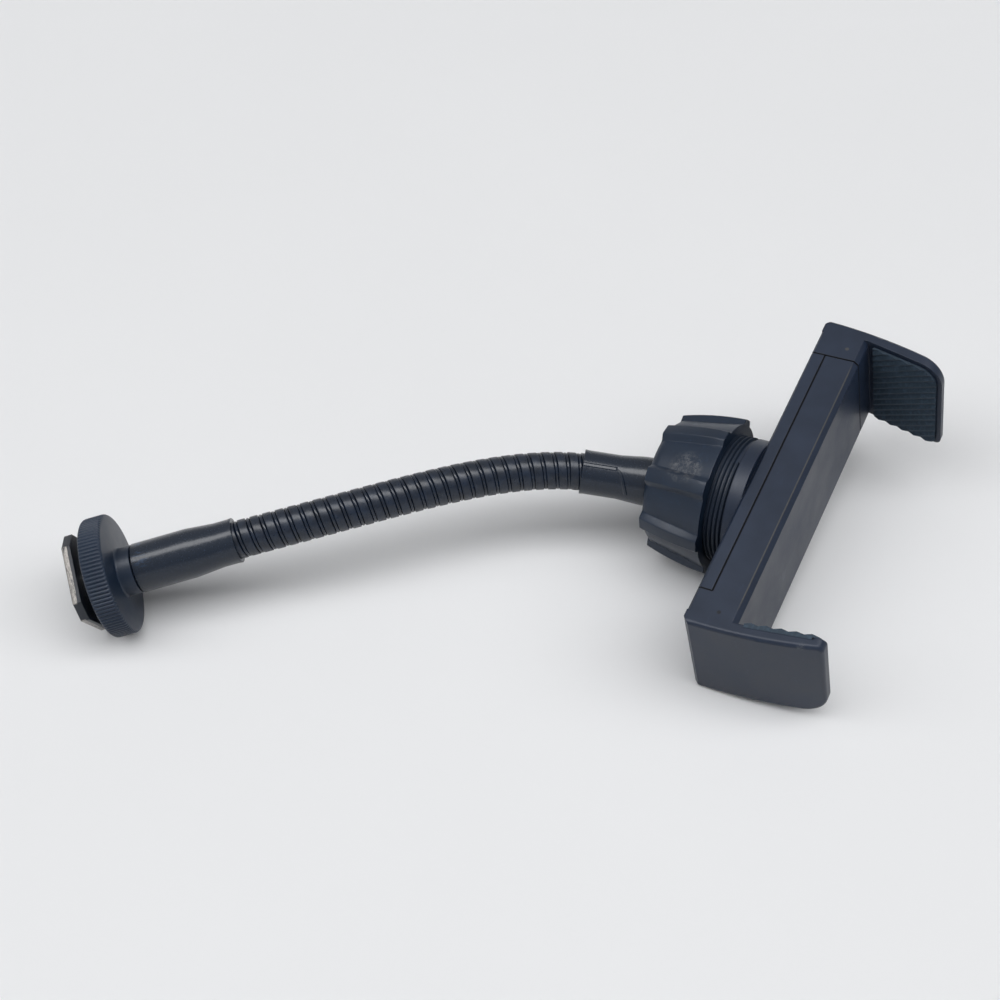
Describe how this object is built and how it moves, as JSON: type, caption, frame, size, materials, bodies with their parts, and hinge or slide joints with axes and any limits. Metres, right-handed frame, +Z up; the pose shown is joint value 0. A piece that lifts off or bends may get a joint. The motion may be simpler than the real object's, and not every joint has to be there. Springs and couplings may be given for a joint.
{
  "type": "phone gooseneck holder",
  "caption": "Black phone holder: spring clamp on a ball joint, short bendable gooseneck, and an accessory-shoe foot with a knurled locking wheel, lying on its side.",
  "frame": {"origin": "on the table, under the middle of the object's box", "axes": "+Z up from the table, +X from the shoe foot towards the clamp, +Y towards the sliding jaw's side"},
  "size_m": [0.1874, 0.083, 0.0382],
  "materials": {
    "foot_metal": "satin black, edges worn to bare silver",
    "steel": "plated",
    "wheel_plastic": "moulded, satin",
    "ferrule_metal": "turned",
    "sleeve_vinyl": "shrunk-on vinyl, glossy",
    "neck_metal": "black coated wire",
    "ball_plastic": "moulded",
    "nut_plastic": "moulded, scuffed",
    "clamp_plastic": "moulded, fine texture",
    "pad_rubber": "ridged"
  },
  "bodies": {
    "base": {"shoe_foot": "foot_metal", "shoe_stud": "steel", "base_ferrule": "ferrule_metal", "base_sleeve": "sleeve_vinyl", "neck_base_end": "neck_metal"},
    "wheel": {"locking_wheel": "wheel_plastic"},
    "neck_1": {"neck_section_1": "neck_metal"},
    "neck_2": {"neck_section_2": "neck_metal"},
    "neck_3": {"neck_section_3": "neck_metal"},
    "neck_4": {"neck_section_4": "neck_metal"},
    "neck_5": {"neck_section_5": "neck_metal"},
    "neck_6": {"neck_section_6": "neck_metal"},
    "neck_7": {"neck_section_7": "neck_metal"},
    "neck_8": {"neck_section_8": "neck_metal"},
    "neck_9": {"neck_section_9": "neck_metal"},
    "head": {"neck_head_end": "neck_metal", "head_sleeve": "sleeve_vinyl", "ball_stem": "steel"},
    "ball": {"socket_ball": "ball_plastic"},
    "nut": {"clamp_nut": "nut_plastic"},
    "clamp": {"back_cover": "clamp_plastic", "cover_screws": "steel", "clamp_body": "clamp_plastic", "lower_jaw_pad": "pad_rubber", "jaw_spring_left": "steel", "jaw_spring_right": "steel", "spring_pin_lower": "steel"},
    "jaw": {"sliding_jaw": "clamp_plastic", "upper_jaw_pad": "pad_rubber", "spring_pin_upper": "steel"}
  },
  "joints": [
    {"name": "wheel_turn", "type": "hinge", "parent": "base", "child": "wheel", "pos_m": [-0.08255, -0.00416, 0.01344], "axis": [0.9715, 0.1421, 0.1896], "continuous": true},
    {"name": "neck_lift_1", "type": "hinge", "parent": "base", "child": "neck_1", "pos_m": [-0.05755, -0.00051, 0.01832], "axis": [0.1813, -0.9834, 0], "range_deg": [-14, 14]},
    {"name": "neck_swing_1", "type": "hinge", "parent": "neck_1", "child": "neck_2", "pos_m": [-0.04965, 0.00095, 0.01936], "axis": [-0.0904, -0.02, 0.9957], "range_deg": [-10, 14]},
    {"name": "neck_lift_2", "type": "hinge", "parent": "neck_2", "child": "neck_3", "pos_m": [-0.04178, 0.00269, 0.02011], "axis": [0.2467, -0.9691, 0], "range_deg": [-14, 14]},
    {"name": "neck_swing_2", "type": "hinge", "parent": "neck_3", "child": "neck_4", "pos_m": [-0.03394, 0.00469, 0.02061], "axis": [-0.0325, -0.009, 0.9994], "range_deg": [-10, 14]},
    {"name": "neck_lift_3", "type": "hinge", "parent": "neck_4", "child": "neck_5", "pos_m": [-0.02614, 0.00686, 0.02088], "axis": [0.2764, -0.961, 0], "range_deg": [-14, 14]},
    {"name": "neck_swing_3", "type": "hinge", "parent": "neck_5", "child": "neck_6", "pos_m": [-0.01836, 0.0091, 0.02095], "axis": [0.0156, 0.0043, 0.9999], "range_deg": [-10, 14]},
    {"name": "neck_lift_4", "type": "hinge", "parent": "neck_6", "child": "neck_7", "pos_m": [-0.01055, 0.01123, 0.02082], "axis": [0.2227, -0.9749, 0], "range_deg": [-14, 14]},
    {"name": "neck_swing_4", "type": "hinge", "parent": "neck_7", "child": "neck_8", "pos_m": [-0.00266, 0.01304, 0.0205], "axis": [0.0602, 0.0087, 0.9981], "range_deg": [-10, 14]},
    {"name": "neck_lift_5", "type": "hinge", "parent": "neck_8", "child": "neck_9", "pos_m": [0.00534, 0.0142, 0.02001], "axis": [0.0145, -0.9999, 0], "range_deg": [-14, 14]},
    {"name": "neck_swing_5", "type": "hinge", "parent": "neck_9", "child": "head", "pos_m": [0.01342, 0.01431, 0.01935], "axis": [0.1004, -0.0177, 0.9948], "range_deg": [-10, 14]},
    {"name": "ball_swivel", "type": "hinge", "parent": "head", "child": "ball", "pos_m": [0.03908, 0.00979, 0.01668], "axis": [0.9797, -0.1727, -0.1019], "continuous": true},
    {"name": "ball_tilt", "type": "hinge", "parent": "ball", "child": "nut", "pos_m": [0.03908, 0.00979, 0.01668], "axis": [-0.174, -0.4793, -0.8602], "range_deg": [-47.4, 2.6]},
    {"name": "nut_turn", "type": "hinge", "parent": "nut", "child": "clamp", "pos_m": [0.03908, 0.00979, 0.01668], "axis": [0.8681, -0.4871, 0.0958], "continuous": true},
    {"name": "jaw_slide", "type": "slide", "parent": "clamp", "child": "jaw", "axis": [0.469, 0.8679, 0.1634], "range_m": [0, 0.028], "stiffness_N_per_m": 600, "springref_m": -0.013}
  ]
}
